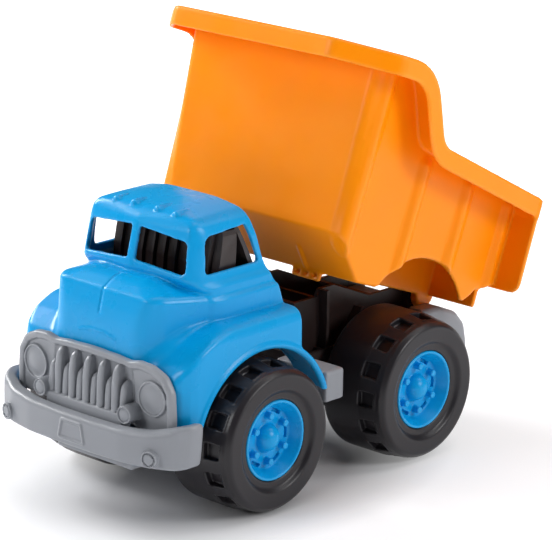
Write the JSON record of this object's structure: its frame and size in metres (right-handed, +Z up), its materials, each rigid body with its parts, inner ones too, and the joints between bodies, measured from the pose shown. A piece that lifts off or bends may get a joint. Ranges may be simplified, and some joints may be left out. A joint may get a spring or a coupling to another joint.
{
  "type": "toy dump truck",
  "caption": "Moulded plastic toy dump truck with a rounded cab, wide tyres on turning axles, and a deep open load bed that tips on pins at the rear.",
  "frame": {"origin": "on the ground under the centre of the truck's bounding box, with the load bed tilted as drawn", "axes": "the front of the truck faces -Y, its left side is +X, and +Z is up"},
  "size_m": [0.17, 0.2774, 0.2414],
  "materials": {
    "blue_plastic": "satin",
    "orange_plastic": "satin",
    "grey_plastic": "satin",
    "black_plastic": "satin",
    "tyre_black": "satin"
  },
  "bodies": {
    "chassis": {"chassis_tray": "grey_plastic", "inner_frame": "black_plastic", "cab_shell": "blue_plastic", "cab_interior": "black_plastic", "grille": "grey_plastic", "front_bumper": "grey_plastic", "axle_keeper_front": "black_plastic", "axle_keeper_rear": "black_plastic", "hinge_pin_left": "black_plastic", "hinge_pin_right": "black_plastic"},
    "front_wheels": {"front_axle": "black_plastic", "tire_front_left": "tyre_black", "tire_front_right": "tyre_black", "hub_front_left": "blue_plastic", "hub_front_right": "blue_plastic"},
    "rear_wheels": {"rear_axle": "black_plastic", "tire_rear_left": "tyre_black", "tire_rear_right": "tyre_black", "hub_rear_left": "blue_plastic", "hub_rear_right": "blue_plastic"},
    "load_bed": {"dump_body": "orange_plastic"}
  },
  "joints": [
    {"name": "front_axle_spin", "type": "hinge", "parent": "chassis", "child": "front_wheels", "pos_m": [0, -0.0619, 0.04], "axis": [1, 0, 0], "continuous": true},
    {"name": "rear_axle_spin", "type": "hinge", "parent": "chassis", "child": "rear_wheels", "pos_m": [0, 0.0561, 0.04], "axis": [1, 0, 0], "continuous": true},
    {"name": "bed_tilt", "type": "hinge", "parent": "chassis", "child": "load_bed", "pos_m": [0, 0.1031, 0.074], "axis": [-1, 0, 0], "range_deg": [-20, 30]}
  ]
}
